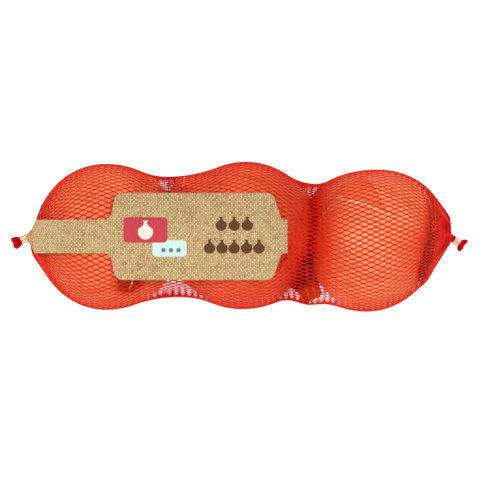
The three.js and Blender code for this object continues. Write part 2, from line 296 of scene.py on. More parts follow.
def under_net(point, lift=0.0):
    """The point, eased inside the netting and above the table where it would be past them."""
    x = point[..., 0]
    y, z = middle_line(x)
    angle = np.arctan2(point[..., 2] - z, point[..., 1] - y)
    away = np.hypot(point[..., 1] - y, point[..., 2] - z)
    room = net_radius(x, angle) - NET_GAP + lift
    away = soft_limit(away, np.maximum(room, 1))
    height = -soft_limit(-(z + away * np.sin(angle)), -0.5 + lift, 0.3)
    return np.stack([x, y + away * np.cos(angle), height], axis=-1)


def below_net(points):
    """How far under the netting each point lies."""
    points = np.asarray(points).reshape(-1, 3)
    y, z = middle_line(points[:, 0])
    angle = np.arctan2(points[:, 2] - z, points[:, 1] - y)
    return net_radius(points[:, 0], angle) - np.hypot(points[:, 1] - y, points[:, 2] - z)


def onion_surface(onion, direction, lift=0.0):
    """The point of the onion's skin in a direction from its middle, with the net's press on it."""
    neck, side, other = onion_axes(onion)
    long = direction @ unit(onion["long"])
    half_length = np.where(long > 0, onion["ahead"], onion["back"])
    across = np.sqrt(np.maximum(1 - long**2, 1e-6))
    upright = np.clip(np.abs(direction[..., 2]) / across, 0, 1) ** 2
    fullness = FULLNESS + (TOP_FULLNESS - FULLNESS) * upright
    lengthwise = np.abs(long / half_length) ** fullness
    reach = (lengthwise + (across / onion["radius"]) ** fullness) ** (-1 / fullness)
    down = np.arccos(np.clip(direction @ neck, -1, 1))
    around = np.arctan2(direction @ other, direction @ side)
    random = np.random.default_rng(onion["seed"])
    waves = 0
    for count, height in SKIN_WAVES:
        turn, drift = random.uniform(0, 6.3), random.uniform(-1.5, 1.5)
        waves = waves + height * np.sin(count * around + turn + drift * down)
    reach = reach + waves * np.sin(down) - SKIN_SUNK
    for bulge, height, width in onion["bulges"]:
        off = np.arccos(np.clip(direction @ unit(bulge), -1, 1))
        reach = reach + height * np.exp(-((off / width) ** 2))
    reach = reach + NECK_RISE["height"] * np.exp(-((down / NECK_RISE["width"]) ** 2))
    reach = reach - ROOT_DIMPLE["depth"] * np.exp(-(((math.pi - down) / ROOT_DIMPLE["width"]) ** 2))
    point = np.array(onion["middle"]) + direction * (reach + lift)[..., None]

    x = point[..., 0]
    for parting in PARTINGS:
        touch = parting["x"] - parting["slant"] * point[..., 1]
        if onion["middle"][0] < parting["x"]:
            x = soft_limit(x, touch + 0.2, PARTING_EASING)
        else:
            x = -soft_limit(-x, -touch + 0.2, PARTING_EASING)
    return under_net(np.stack([x, point[..., 1], point[..., 2]], axis=-1), lift)


def shown_mesh(name, points, faces, material, attributes=None):
    """A smooth mesh object from points in millimetres, with named values on its points."""
    mesh = bpy.data.meshes.new(name)
    mesh.from_pydata((np.asarray(points).reshape(-1, 3) * MM).tolist(), [], faces)
    mesh.materials.append(material)
    for attribute, values in (attributes or {}).items():
        values = np.asarray(values, np.float32)
        kind, field = ("FLOAT_VECTOR", "vector") if values.ndim > 1 else ("FLOAT", "value")
        mesh.attributes.new(attribute, kind, "POINT").data.foreach_set(field, values.ravel())
    mesh.polygons.foreach_set("use_smooth", [True] * len(mesh.polygons))
    mesh.update()
    piece = bpy.data.objects.new(name, mesh)
    bpy.context.scene.collection.objects.link(piece)
    return piece


def grid_faces(rows, columns, closed=False, start=0):
    """Quads over a grid of points, row by row, with the last column joined to the first or not."""
    across = columns if closed else columns - 1
    row, column = np.meshgrid(np.arange(rows - 1), np.arange(across), indexing="ij")
    after = (column + 1) % columns
    near, far = row * columns, (row + 1) * columns
    quads = [near + column, near + after, far + after, far + column]
    return (np.stack(quads, axis=-1).reshape(-1, 4) + start).tolist()


def closed_rings(rings, around, turned=False):
    """Faces over rings of points, and a fan to a point at each end: those two points come last."""
    faces = grid_faces(rings, around, closed=True)
    last = (rings - 1) * around
    for step in range(around):
        after = (step + 1) % around
        faces.append((rings * around, after, step))
        faces.append((rings * around + 1, last + step, last + after))
    return [face[::-1] for face in faces] if turned else faces


def node(tree, kind, settings=None, **sockets):
    """A shader node with its settings, and its sockets set or linked by name."""
    made = tree.nodes.new("ShaderNode" + kind)
    for setting, value in (settings or {}).items():
        setattr(made, setting, value)
    for name, value in sockets.items():
        socket = made.inputs[int(name[1:])] if name[0] == "_" else made.inputs[name.replace("_", " ")]
        if isinstance(value, bpy.types.NodeSocket):
            tree.links.new(value, socket)
        else:
            socket.default_value = value
    return made


def on_points(tree, attribute):
    return node(tree, "Attribute", dict(attribute_name=attribute))


def maths(tree, operation, *values):
    made = node(tree, "Math", dict(operation=operation), **{f"_{i}": v for i, v in enumerate(values)})
    return made.outputs[0]


def blend(tree, share, first, second):
    made = node(tree, "Mix", dict(data_type="RGBA"), _0=share, _6=first, _7=second)
    return made.outputs[2]


def spread(tree, value, low, high, to_low=0.0, to_high=1.0):
    """Value mapped from one range to another and held inside it."""
    made = node(tree, "MapRange", None, Value=value, From_Min=low, From_Max=high,
                To_Min=to_low, To_Max=to_high)
    return made.outputs[0]


def noise(tree, place, scale, detail):
    return node(tree, "TexNoise", None, Vector=place, Scale=scale, Detail=detail)


def roughen(tree, shader, height, strength, distance):
    """Fine relief on a surface: how strong, and how deep in metres."""
    bump = node(tree, "Bump", None, Height=height, Strength=strength, Distance=distance)
    tree.links.new(bump.outputs[0], shader.inputs["Normal"])


def streaks(tree, place, scale, stretch, detail, distortion=0.0):
    """Noise drawn out along the last direction of a place."""
    stretched = node(tree, "Mapping", None, Vector=place, Scale=(scale, scale, stretch))
    return node(tree, "TexNoise", None, Vector=stretched.outputs[0], Scale=1.0, Detail=detail,
                Distortion=distortion).outputs[0]


RED_LIT_DEPTHS = (1.2, 6)
RED_LIGHT = (0.96, 0.34, 0.25, 1)


def red_lit(tree, tone):
    """The tone in the light that has come through the red net, the redder the further below it."""
    deep = on_points(tree, "below_net").outputs["Fac"]
    share = spread(tree, deep, *RED_LIT_DEPTHS)
    lit = node(tree, "Mix", dict(data_type="RGBA", blend_type="MULTIPLY"), _0=share, _6=tone, _7=RED_LIGHT)
    return lit.outputs[2]


def papery_skin(name, fresh, dry, vein, neck_reach, root_reach=0.3):
    """Onion skin: streaks and thin veins from pole to pole, browner and drier towards both poles,
    and dark round the neck, partly as painted shade.
    """
    material, tree, shader = new_material(name, Roughness=0.42, Specular_IOR_Level=0.05,
                                          Subsurface_Weight=0.12, Subsurface_Scale=0.002)
    shader.inputs["Subsurface Radius"].default_value = (1, 0.4, 0.15)
    around = on_points(tree, "round_skin").outputs["Vector"]
    down = on_points(tree, "from_neck").outputs["Fac"]
    broad = streaks(tree, around, 2.2, 1.6, 3)
    fine = streaks(tree, around, 26, 1.4, 5)
    vein_field = streaks(tree, around, 9, 0.9, 2, 0.4)
    off_vein = maths(tree, "ABSOLUTE", maths(tree, "SUBTRACT", vein_field, 0.5))
    on_vein = spread(tree, off_vein, 0.0, 0.018, 0.6, 0.0)
    tone = maths(tree, "ADD", maths(tree, "MULTIPLY", broad, 0.7), maths(tree, "MULTIPLY", fine, 0.5))
    skin = blend(tree, spread(tree, tone, 0.42, 0.8), fresh, dry)
    skin = blend(tree, on_vein, skin, vein)
    ragged = maths(tree, "MULTIPLY", maths(tree, "SUBTRACT", fine, 0.5), 0.2)
    to_neck = maths(tree, "DIVIDE", maths(tree, "ADD", down, ragged), neck_reach)
    from_root = maths(tree, "SUBTRACT", math.pi, down)
    to_root = maths(tree, "DIVIDE", maths(tree, "ADD", from_root, ragged), root_reach)
    # Towards the neck: drier skin, and painted shade where the middle and last necks lie in the crevice.
    skin = blend(tree, spread(tree, to_neck, 0.5, 1.0), colour(214, 68, 34), skin)
    skin = blend(tree, spread(tree, to_neck, 0.3, 0.7), colour(168, 24, 10), skin)
    skin = blend(tree, spread(tree, to_root, 0.9, 1.0), colour(116, 20, 9), skin)
    skin = red_lit(tree, skin)
    tree.links.new(skin, shader.inputs["Base Color"])
    tree.links.new(spread(tree, fine, 0.3, 0.7, 0.34, 0.5), shader.inputs["Roughness"])
    relief = maths(tree, "SUBTRACT", fine, maths(tree, "MULTIPLY", on_vein, -0.5))
    roughen(tree, shader, relief, 0.35, 0.0004)
    return material


# Each skin's fresh tone, its dry tone and its veins, and how far it is darker round the neck, partly
# as painted shade, and round the root, in radians from the pole.
SKINS = {
    "onion_left": papery_skin(
        "skin_left", colour(253, 150, 106), colour(238, 118, 70), colour(186, 76, 36), 0.3, 0.2),
    "onion_middle": papery_skin(
        "skin_middle", colour(248, 128, 88), colour(226, 92, 50), colour(170, 60, 28), 0.72, 0.14),
    "onion_right": papery_skin(
        "skin_right", colour(254, 166, 120), colour(247, 138, 86), colour(206, 96, 52), 1.0, 0.36),
}


def skin_values(onion, direction):
    """Where each point lies round the onion, and its angle from the neck."""
    neck, side, other = onion_axes(onion)
    down = np.arccos(np.clip(direction @ neck, -1, 1))
    around = np.arctan2(direction @ other, direction @ side)
    round_skin = np.stack([np.cos(around), np.sin(around), down], axis=-1).reshape(-1, 3)
    return dict(round_skin=round_skin, from_neck=down.ravel())


def in_the_net(piece):
    """A piece that stands, with others, in the place of the solid sleeve."""
    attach(piece, "root")
    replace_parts(piece, "net_sleeve")


def build_onion(name, onion):
    """The onion's body, closed at both poles."""
    neck, side, other = onion_axes(onion)
    around = np.arange(ROUND_STEPS) * 2 * math.pi / ROUND_STEPS
    down = np.linspace(0, math.pi, DOWN_STEPS + 1)[1:-1]
    ring = np.cos(around)[:, None] * side + np.sin(around)[:, None] * other
    direction = np.cos(down)[:, None, None] * neck + np.sin(down)[:, None, None] * ring
    direction = np.concatenate([direction.reshape(-1, 3), [neck, -neck]])
    faces = closed_rings(DOWN_STEPS - 1, ROUND_STEPS, turned=True)
    points = onion_surface(onion, direction)
    values = dict(skin_values(onion, direction), below_net=below_net(points))
    in_the_net(shown_mesh(name, points, faces, SKINS[name], values))


for onion_name, onion_form in ONIONS.items():
    build_onion(onion_name, onion_form)


# --- Dried necks, roots and torn outer skins -------------------------------------------------------
# What is left on each onion from the field: a neck of dried, twisted leaf bases with a ragged end,
# a plate of short wiry roots at the other pole, outer skins that have split, some with a pale edge
# that is partly a painted highlight and one with a dark edge of painted shade, and a few loose fibres.
def dried_leaf(name, light, dark, painted_shade=None):
    """Dry leaf with fibres along it, and painted shade that darkens it nearest the onion where
    painted_shade says so: from and to which places along it, and the tone."""
    material, tree, shader = new_material(name, Roughness=0.6, Specular_IOR_Level=0.03)
    fibre = on_points(tree, "fibre").outputs["Vector"]
    grain = streaks(tree, fibre, 2.6, 0.22, 4)
    tone = blend(tree, spread(tree, grain, 0.32, 0.68), dark, light)
    # Painted shade: darker from one place along the fibres to another, in the given tone.
    if painted_shade:
        along = node(tree, "SeparateXYZ", None, _0=fibre).outputs[2]
        tone = blend(tree, spread(tree, along, *painted_shade[:2]), painted_shade[2], tone)
    tree.links.new(tone, shader.inputs["Base Color"])
    roughen(tree, shader, grain, 0.5, 0.0003)
    return material


# The neck is painted in shade nearest the onion, where it lies in the crevice, and is bright at its tip.
neck_material = dried_leaf("dried_neck", colour(255, 126, 58), colour(190, 28, 10),
                           (12, 18, colour(88, 6, 3)))
scrap_material = dried_leaf("dried_scraps", colour(196, 48, 24), colour(124, 10, 5))
root_material = dried_leaf("dried_roots", colour(168, 104, 62), colour(92, 48, 24))
rim_material = dried_leaf("dried_root_rim", colour(150, 18, 7), colour(80, 6, 3))

NECK_PATH = [(27, -15, 40), (33, -24, 39.5), (36.6, -30, 38.5), (38.6, -35.6, 37.5)]
NECK_RADII = [13, 8.6, 5.4, 4.8]
NECK_AROUND = 72
NECK_ALONG = 26


def build_neck(name, path, radii, seed):
    """A twisted, fluted neck along a path, hollow and ragged at its end, pressed under the net."""
    random = np.random.default_rng(seed)
    share = np.linspace(0, 1, NECK_ALONG)
    stops = np.linspace(0, 1, len(path))
    line = np.stack([np.interp(share, stops, along_axis) for along_axis in zip(*path)], axis=-1)
    radius = np.interp(share, stops, radii)
    turn = np.arange(NECK_AROUND) * 2 * math.pi / NECK_AROUND
    forward = unit(line[-1] - line[0])
    sideways = unit(np.cross((0, 0, 1), forward))
    upwards = np.cross(forward, sideways)
    rags = sum(random.uniform(0.2, 0.6) * np.sin(count * turn + random.uniform(0, 6.3))
               for count in (3, 7, 12, 19))
    rings = []
    for place, middle, width in zip(share, line, radius):
        fold = 0.14 * np.sin(7 * turn + 2.2 * place) + 0.09 * np.sin(13 * turn - 3 * place + 1)
        fold = fold + 0.04 * np.sin(29 * turn + 5 * place)
        wide = width * (1 + fold * (0.4 + 1.2 * place))
        along = rags * smooth(0.6, 1, place)
        ring = sideways * (wide * np.cos(turn))[:, None] + upwards * (wide * np.sin(turn))[:, None]
        rings.append(middle + ring + forward * along[:, None])
    for depth, narrower in ((0.6, 0.8), (2.5, 0.62), (4, 0.3)):
        middle = line[-1] - forward * depth
        rings.append(middle + (rings[NECK_ALONG - 1] - line[-1] - forward * rags[:, None]) * narrower
                     + forward * (rags * (1 - depth / 4))[:, None])
    ends = [line[0], line[-1] - forward * 4.2]
    points = under_net(np.concatenate([np.array(rings).reshape(-1, 3), ends]), -0.15)
    row = np.arange(1, len(rings) + 1)[:, None] * 1.0
    fibre = np.stack(np.broadcast_arrays(6 * np.cos(turn), 6 * np.sin(turn), row), axis=-1)
    fibre = np.concatenate([fibre.reshape(-1, 3), [(0, 0, 0), (0, 0, len(rings) + 1)]])
    faces = closed_rings(len(rings), NECK_AROUND)
    piece = shown_mesh(name, points, faces, neck_material, dict(fibre=fibre))
    in_the_net(piece)


build_neck("dried_neck", NECK_PATH, NECK_RADII, 8)


def flat_tubes(lines, sideways, outwards):
    """Four-sided tubes along lines of points: at each point, the way to one side and to the face."""
    points = np.stack([lines + sideways, lines + outwards, lines - sideways, lines - outwards], axis=2)
    count, steps = lines.shape[:2]
    last = steps * 4 - 1
    quads = np.array(grid_faces(steps, 4, closed=True))[:, ::-1]
    one = np.concatenate([quads, [[0, 1, 2, 3], [last, last - 1, last - 2, last - 3]]])
    faces = (one[None] + (np.arange(count) * steps * 4)[:, None, None]).reshape(-1, 4)
    return points, faces.tolist()


STRIP_TAPER = np.array([1, 1, 0.95, 0.85, 0.6, 0.2])
STRIP_THICK = 0.16  # at most, from the middle to either face


def strips(name, line, outwards, wide, material):
    """Thin tapering strips along lines of points, lying flat on the surface that faces outwards."""
    count, steps = line.shape[:2]
    outwards = unit(outwards)
    sideways = unit(np.cross(np.gradient(line, axis=1), outwards))
    half = (wide[:, None] * STRIP_TAPER / 2)[..., None]
    points, faces = flat_tubes(line, sideways * half, outwards * np.minimum(half, STRIP_THICK))
    along = np.linspace(0, 6, steps)[:, None]
    apart = (np.arange(count) * 3.7)[:, None, None]
    fibre = np.stack(np.broadcast_arrays(np.array([-0.5, 0, 0.5, 0]), apart, along), axis=-1)
    piece = shown_mesh(name, points, faces, material, dict(fibre=fibre.reshape(-1, 3)))
    in_the_net(piece)


def curled_strips(name, onion, pole, count, ring, length, width, seed, material, rise=0.5):
    """Short dry strips or roots that start round a pole and lie outwards under the net."""
    random = np.random.default_rng(seed)
    axis = unit(pole)
    side = unit(np.cross(axis, (0.2, 0.1, 1)))
    other = np.cross(axis, side)
    share = np.linspace(0, 1, len(STRIP_TAPER))
    turn = random.uniform(0, 2 * math.pi, count)
    start = ring * np.sqrt(random.uniform(0.02, 1, count))
    reach = random.uniform(*length, count)
    swing = random.uniform(-0.9, 0.9, count)
    wide = random.uniform(*width, count)
    high = random.uniform(0.3, 1, count)
    off = (start[:, None] + reach[:, None] * share) / onion["radius"]
    bearing = turn[:, None] + swing[:, None] * share**2
    lift = rise * high[:, None] * np.sin(math.pi * np.minimum(share + 0.15, 1)) - 0.1
    tangent = np.cos(bearing)[..., None] * side + np.sin(bearing)[..., None] * other
    direction = np.cos(off)[..., None] * axis + np.sin(off)[..., None] * tangent
    strips(name, onion_surface(onion, direction, lift), direction, wide, material)


ROOTS = dict(length=(3, 6), width=(0.3, 0.6), rise=3.8)
SCRAPS = dict(count=40, ring=3.5, length=(3, 7), width=(0.6, 1.7))


for onion_name, onion_form in ONIONS.items():
    side_name = onion_name.split("_")[1]
    root_pole = -np.array(onion_form["neck"])
    curled_strips(f"roots_{side_name}", onion_form, root_pole, *onion_form["roots"],
                  seed=onion_form["seed"] + 1,
                  material=rim_material if side_name == "right" else root_material, **ROOTS)
    curled_strips(f"neck_scraps_{side_name}", onion_form, onion_form["neck"], seed=onion_form["seed"] + 2,
                  material=scrap_material, **SCRAPS)


# The last onion's root is so broad that its rim of stubble shows through the net as a dark
# crescent, from one edge of the cone to the other, on the upper side and on the underside.
FRINGE_ENDS = [(108.4, 5.5), (98.4, -26.8)]
FRINGE_BOW = 1.6
FRINGE_COUNT = 64


def root_fringe(name, seed):
    """Root stubs that lie across the rim of the root, caught between the strands of the net."""
    random = np.random.default_rng(seed)
    count, steps = 2 * FRINGE_COUNT, len(STRIP_TAPER)
    share = np.tile((np.arange(FRINGE_COUNT) + 0.5) / FRINGE_COUNT, 2) + random.uniform(-0.012, 0.012, count)
    underside = np.repeat([1, -1], FRINGE_COUNT)
    start, stop = np.array(FRINGE_ENDS)
    outwards = np.array([start[1] - stop[1], stop[0] - start[0]]) / np.hypot(*(start - stop))
    middle = start + (stop - start) * share[:, None]
    middle = middle + outwards * (FRINGE_BOW * 4 * share * (1 - share))[:, None]
    middle = middle + outwards * random.normal(0, 0.35, count)[:, None]
    along = outwards + random.normal(0, 0.16, (count, 2))
    reach = random.uniform(1.2, 2.2, count)[:, None] * np.linspace(-1, 1, steps)
    flat = middle[:, None] + along[:, None] * reach[..., None]
    x = flat[..., 0]
    y, z = middle_line(x)
    angle = math.pi / 2 * np.ones(x.shape)
    for _ in range(12):
        angle = np.arccos(np.clip((flat[..., 1] - y) / net_radius(x, angle), -0.98, 0.98))
    lift = random.uniform(-0.15, 0.35, count)[:, None] - 0.25 * np.linspace(-1, 1, steps) ** 2
    line = sleeve_point(x, angle * underside[:, None], lift)
    strips(name, line, line - np.stack([x, y, z], axis=-1), random.uniform(0.35, 0.7, count), rim_material)


root_fringe("root_fringe_right", 41)


def seen_from_above(onion, place):
    """The direction from an onion's middle to the place x, y on its upper side."""
    middle = np.array(onion["middle"])
    off = np.array(place) - middle[:2]
    aim = np.append(off, math.sqrt(max(onion["radius"] ** 2 - off @ off, 4)))
    for _ in range(16):
        reached = onion_surface(onion, unit(aim)[None])[0]
        aim = reached - middle
        aim[:2] += np.array(place) - reached[:2]
        aim[2] = max(aim[2], 1)
    return unit(aim)


def sheet_faces(rows, columns):
    """Faces of a closed sheet: a grid of points above, the same grid below, and a rim round them."""
    under = rows * columns
    faces = [face[::-1] for face in grid_faces(rows, columns)] + grid_faces(rows, columns, start=under)
    rim = list(range(columns)) + [row * columns + columns - 1 for row in range(1, rows)]
    rim += [(rows - 1) * columns + column for column in range(columns - 2, -1, -1)]
    rim += [row * columns for row in range(rows - 2, 0, -1)]
    return faces + [(near, after, after + under, near + under)
                    for near, after in zip(rim, rim[1:] + rim[:1])]


TORN_STEPS = 60
TORN_ROWS = 22
TORN_THICK = 0.12


def torn_skin(name, onion_name, border, towards, depth, material, seed, edge_wide=0.55):
    """An outer skin split along a border, which curls up there and lies close further in."""
    onion = ONIONS[onion_name]
    random = np.random.default_rng(seed)
    corners = np.array([seen_from_above(onion, place) for place in border])
    gaps = np.concatenate([[0], np.cumsum(np.linalg.norm(np.diff(corners, axis=0), axis=1))])
    place = np.linspace(0, gaps[-1], TORN_STEPS)
    edge = np.stack([np.interp(place, gaps, along_axis) for along_axis in corners.T], axis=-1)
    rags = sum(random.uniform(0.003, 0.008) * np.sin(count * place / gaps[-1] * 6.3 + random.uniform(0, 6.3))
               for count in (3, 7, 13, 21))
    share = np.linspace(0, 1, TORN_ROWS) ** 1.6
    inwards = unit(unit(towards) - edge)
    off = rags[:, None] + share * (depth / onion["radius"] - rags[:, None])
    direction = unit(edge[:, None] + inwards[:, None] * off[..., None])
    ends = smooth(0, 0.12, place / gaps[-1]) * smooth(0, 0.12, 1 - place / gaps[-1])
    curl = ends[:, None] * (0.34 + 0.2 * np.exp(-share * 30))
    lift = (curl - 0.2) * (1 - smooth(0.8, 1, share)) - 0.1 * share
    upper = onion_surface(onion, direction, lift + TORN_THICK)
    lower = onion_surface(onion, direction, lift)
    points = np.concatenate([upper.reshape(-1, 3), lower.reshape(-1, 3)])
    faces = sheet_faces(TORN_STEPS, TORN_ROWS)
    if np.cross(edge[-1] - edge[0], inwards.mean(axis=0)) @ edge.mean(axis=0) < 0:
        faces = [face[::-1] for face in faces]
    values = skin_values(onion, np.concatenate([direction.reshape(-1, 3)] * 2))
    values["below_net"] = below_net(points)
    values["split"] = np.tile(np.exp(-((share * depth / edge_wide) ** 2)), 2 * TORN_STEPS)
    piece = shown_mesh(name, points, faces, material, values)
    in_the_net(piece)


def split_skin(name, fresh, dry, vein, neck_reach, edge):
    """The same skin, drier, with an edge of another colour where it has split."""
    material = papery_skin(name, fresh, dry, vein, neck_reach)
    tree = material.node_tree
    shader = tree.nodes["Principled BSDF"]
    skin = shader.inputs["Base Color"].links[0].from_socket
    split = on_points(tree, "split").outputs["Fac"]
    tree.links.new(blend(tree, split, skin, edge), shader.inputs["Base Color"])
    return material


# The outer skin's pale edge: partly the thin torn skin's own paleness, partly a painted highlight.
outer_skin = split_skin(
    "outer_skin", colour(250, 128, 84), colour(232, 96, 52), colour(176, 66, 30), 1.0, colour(255, 214, 158))
# The cracked skin's dark edge is painted shade in the crack.
cracked_skin_painted_shade = split_skin(
    "cracked_skin_painted_shade", colour(246, 122, 82), colour(226, 92, 50), colour(170, 60, 28), 0.72, colour(112, 12, 6))
torn_skin("outer_skin_right", "onion_right",
          [(41, 6), (42.6, 8.1), (47, 14.8), (51, 19.8), (52.6, 21), (55.4, 18.4), (65, 17.6), (69.4, 15.9),
           (73.9, 13.7), (82, 9.5)],
          (-0.15, 0.93, 0.33), 24, outer_skin, 31, 1.35)
torn_skin("outer_skin_left", "onion_left",
          [(-64, 33.4), (-61.7, 31.7), (-59.9, 29.9), (-57.3, 28.5), (-54.5, 27.3), (-50.5, 25.6)],
          (0.6, 0.75, 0.25), 9, outer_skin, 32)
torn_skin("outer_skin_middle", "onion_middle",
          [(-35.3, 22.1), (-33, 24.9), (-31.2, 27.3), (-28.8, 29.6), (-27.7, 32.4), (-26.4, 35)],
          (0.1, 0.9, 0.45), 14, outer_skin, 33)
torn_skin("outer_skin_cracked", "onion_middle",
          [(26.4, -6.4), (24.6, -8.4), (23.2, -10.3), (23.8, -12.3), (21.6, -14.2), (20.2, -16),
           (19.8, -18.4), (18, -21)],
          (0.3, 0.05, 0.95), 6, cracked_skin_painted_shade, 34, 1.7)


def dry_fibre(name, onion_name, places, wide, material):
    """One dry fibre that lies on an onion along places x, y seen from above."""
    onion = ONIONS[onion_name]
    path = np.array([seen_from_above(onion, place) for place in places])
    share = np.linspace(0, 1, len(STRIP_TAPER))
    stops = np.linspace(0, 1, len(places))
    direction = unit(np.stack([np.interp(share, stops, along_axis) for along_axis in path.T], axis=-1))
    strips(name, onion_surface(onion, direction, 0.35)[None], direction[None], np.array([wide]), material)


pale_fibre = dried_leaf("pale_fibre", colour(255, 214, 170), colour(240, 170, 120))
dry_fibre("fibre_left", "onion_left", [(-62.6, -24), (-63, -26.5), (-64.4, -29.6)], 1.0, pale_fibre)
dry_fibre("fibre_middle", "onion_middle", [(-24.6, -25), (-22.3, -28.4)], 0.9, rim_material)


# --- The net ------------------------------------------------------------------------------------
# A tube of red plastic netting, knitted in long diamond cells. Two sets of strands wind round it
# in opposite directions and are fused where they cross, so each cell is shaped like an eye.
CELLS_AROUND = 80
CELL_SIDE = 3.69
STRAND_WIDE = 0.55
STRAND_THICK = 0.44
KNOT_WIDE = 0.9
BUNCHED_WIDE = 1.8  # how much wider the strands look where the net is bunched
BUNCHED_RADII = (9, 26)
WAIST_WIDE = 0.22  # and where it is slack between two onions
# The deepest crevice, between the middle and the last onion: the strands over it get no light
# from a skin below, so they look deeper red. It bends and widens towards the middle onion's neck.
CREVICE = dict(x=38.6, bend=0.01, half=4, widens=0.14)
OVER_UNDER = 0.1  # the two sets lie this far out of and into the sleeve's form
RELAXED_HALF = 14  # how far from a waist the strands are wider,
SLACK_HALF = 10  # and how far they hang slack at the pack's sides
ALONG_CELL = (0, 0.3, 0.7)  # where a strand has points between two rows of knots
CLIP_LENGTH = 3.7
BUNCH = dict(across=1.45, high=1.15)
TAIL_RAGGED = 0.3


def knot_rows():
    """Where the rows of knots lie: a cell's side keeps its length as the net opens and closes."""
    start, stop = LEFT_END["mouth"][0], RIGHT_END["mouth"][0]
    x = np.arange(start, stop, 0.02)
    radius = sleeve_radius(x, np.full(x.shape, math.pi / 2))
    travelled = np.concatenate([[0], np.cumsum(np.hypot(np.diff(x), np.diff(radius)))])
    rows, place = [start], 0
    while True:
        half_cell = math.pi * radius[place] / CELLS_AROUND
        wanted = travelled[place] + math.sqrt(CELL_SIDE**2 - half_cell**2)
        place = int(np.searchsorted(travelled, wanted))
        if place >= len(x):
            break
        rows.append(x[place])
    rows[-1] = stop
    return np.array(rows)


def net_drift(x, angle):
    """How far the cells are pulled out of line, along the pack and round it."""
    along = 0.55 * np.sin(2 * angle + 0.045 * x + 1) + 0.35 * np.sin(5 * angle - 0.11 * x)
    along = along + 0.22 * np.sin(11 * angle + 0.23 * x + 2)
    turned = 0.010 * np.sin(3 * angle + 0.07 * x) + 0.006 * np.sin(7 * angle - 0.19 * x + 1)
    held = smooth(0, 18, x - LEFT_END["mouth"][0]) * smooth(0, 18, RIGHT_END["mouth"][0] - x)
    return along * held, turned * held


def tail_points(end, forward_sign, angles, random):
    """Each strand's points from the mouth through the clip to its cut end, as an array by strand."""
    direction = unit(end["direction"])
    forward = direction * forward_sign
    sideways = unit(np.cross((0, 0, 1), forward))
    upwards = np.cross(forward, sideways)
    tail = end["tail"]
    clip_end = end["gap"] + CLIP_LENGTH
    ragged = TAIL_RAGGED * np.sin(3 * angles + 1) + random.uniform(-0.5, 0.3, angles.shape)
    depth = np.sqrt(random.uniform(0.3, 1, angles.shape))
    stops = [
        (end["gap"] * 0.5, 1.5, 1.4), (end["gap"], BUNCH["across"], BUNCH["high"]),
        (clip_end, BUNCH["across"], BUNCH["high"]),
        (clip_end + 0.35 * tail["length"], tail["across"] * 0.8, tail["high"] * 0.8),
        (clip_end + 0.7 * tail["length"], tail["across"] * 0.95, tail["high"] * 0.95),
        (clip_end + tail["length"], tail["across"], tail["high"]),
    ]
    rows = []
    for number, (distance, across, high) in enumerate(stops):
        fold = 1 + PLEAT_DEPTH * np.cos(PLEATS * angles)
        reach = distance + (ragged if number == len(stops) - 1 else 0)
        rows.append(np.array(end["mouth"]) + direction * np.reshape(reach, (-1, 1))
                    + sideways * (across * fold * depth * np.cos(angles))[:, None]
                    + upwards * (high * fold * depth * np.sin(angles))[:, None])
    return np.stack(rows, axis=1)


def strand_lines(turning, seed):
    """The middle lines of one set of strands: an array of strand, place along it, x y z."""
    rows = knot_rows()
    count = len(rows) - 1
    share = np.tile(ALONG_CELL, count)
    row = np.repeat(np.arange(count), len(ALONG_CELL))
    x = rows[row] + (rows[row + 1] - rows[row]) * share
    halves = row + smooth(0, 1, share)
    knot = np.where(share == 0, 1.0, 0.0)
    x, halves, knot = np.append(x, rows[-1]), np.append(halves, count), np.append(knot, 1.0)
    strand = np.arange(CELLS_AROUND)[:, None] * 2 * math.pi / CELLS_AROUND
    angle = strand + turning * halves * math.pi / CELLS_AROUND
    along, turned = net_drift(x, angle)
    lift = OVER_UNDER * turning * (1 - 0.6 * knot)
    points = sleeve_point(x + along, angle + turned, lift)
    random = np.random.default_rng(seed)
    left = tail_points(LEFT_END, -1, angle[:, 0], random)[:, ::-1]
    right = tail_points(RIGHT_END, 1, angle[:, -1], random)
    knots = np.concatenate([np.ones(left.shape[1]), knot, np.ones(right.shape[1])])
    return np.concatenate([left, points, right], axis=1), knots


def strand_tubes(lines, wide, thick):
    """Four-sided strands along the lines, wide across the net and thinner through it."""
    along = unit(np.gradient(lines, axis=1))
    y, z = middle_line(lines[..., 0])
    outwards = lines - np.stack([lines[..., 0], y, z], axis=-1)
    outwards += 1e-6
    across = unit(np.cross(along, outwards))
    outwards = np.cross(across, along)
    return flat_tubes(lines, across * wide[..., None] / 2, outwards * thick / 2)


def net_plastic():
    """Thin red plastic, darker at the knots, where two strands are fused, partly as painted shade,
    and painted deep red as shade where many lie side by side, where they hang slack at the pack's
    sides by the waists, and over the crevice.
    """
    material, tree, shader = new_material("net_plastic", Roughness=0.5, Specular_IOR_Level=0.02,
                                          Subsurface_Weight=0.3, Subsurface_Scale=0.0005)
    shader.inputs["Subsurface Radius"].default_value = (1, 0.15, 0.08)
    knot = on_points(tree, "knot").outputs["Fac"]
    place = node(tree, "TexCoord").outputs["Object"]
    patchy = noise(tree, place, 900.0, 2.0).outputs[0]
    share = spread(tree, patchy, 0.3, 0.7, 0.6, 1.0)
    # Darker towards the knots: partly the thicker fused plastic, partly painted shade.
    share = maths(tree, "MULTIPLY", share, spread(tree, knot, 0, 1, 0.25, 0.8))
    tone = blend(tree, share, colour(233, 57, 33), colour(186, 30, 16))
    folds = noise(tree, place, 160.0, 2.0).outputs[0]
    # The deep red of the painted shade, patchy where the net folds.
    painted_shade_crimson = blend(tree, spread(tree, folds, 0.35, 0.65), colour(176, 5, 9), colour(226, 22, 16))
    tone = blend(tree, on_points(tree, "painted_shade_crimson").outputs["Fac"], tone, painted_shade_crimson)
    tree.links.new(tone, shader.inputs["Base Color"])
    roughen(tree, shader, patchy, 0.2, 0.00005)
    return material


